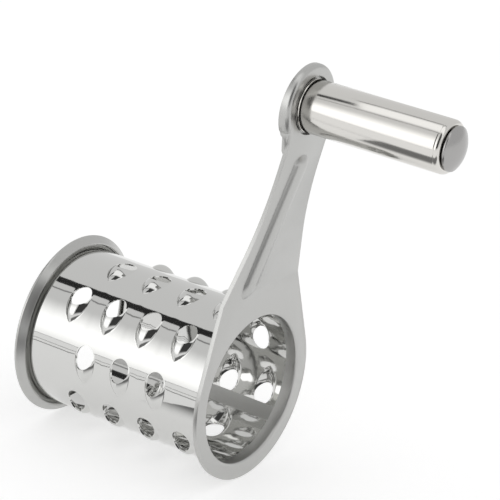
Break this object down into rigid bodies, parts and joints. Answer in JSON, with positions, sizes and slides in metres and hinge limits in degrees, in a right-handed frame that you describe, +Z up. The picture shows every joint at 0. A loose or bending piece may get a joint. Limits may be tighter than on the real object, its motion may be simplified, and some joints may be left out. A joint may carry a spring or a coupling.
{
  "type": "rotary cheese grater drum with crank",
  "caption": "Toothed stainless grating drum with an open rim, fixed to a bent crank arm that carries a freely turning hand grip.",
  "frame": {"origin": "centre of the collar's bore, in the plane where the drum meets the back of the crank's ring", "axes": "+X along the drum's axis towards the hand grip, +Z up along the crank"},
  "size_m": [0.1485, 0.0646, 0.1525],
  "materials": {
    "mirror_steel": "mirror polished stainless sheet",
    "satin_steel": "satin stainless",
    "grip_steel": "polished stainless tube",
    "turned_steel": "fine turned",
    "dark_plastic": "matt"
  },
  "bodies": {
    "crank": {"drum_shell": "mirror_steel", "end_rim": "satin_steel", "crank_arm": "satin_steel", "axle_rod": "turned_steel", "dome_cap": "turned_steel", "thrust_washer": "dark_plastic", "backing_washer": "turned_steel"},
    "grip": {"grip_tube": "grip_steel", "inner_bush": "dark_plastic", "outer_bush": "dark_plastic"}
  },
  "joints": [
    {"name": "grip_spin", "type": "hinge", "parent": "crank", "child": "grip", "pos_m": [0.0147, 0, 0.1065], "axis": [1, 0, 0], "continuous": true}
  ]
}
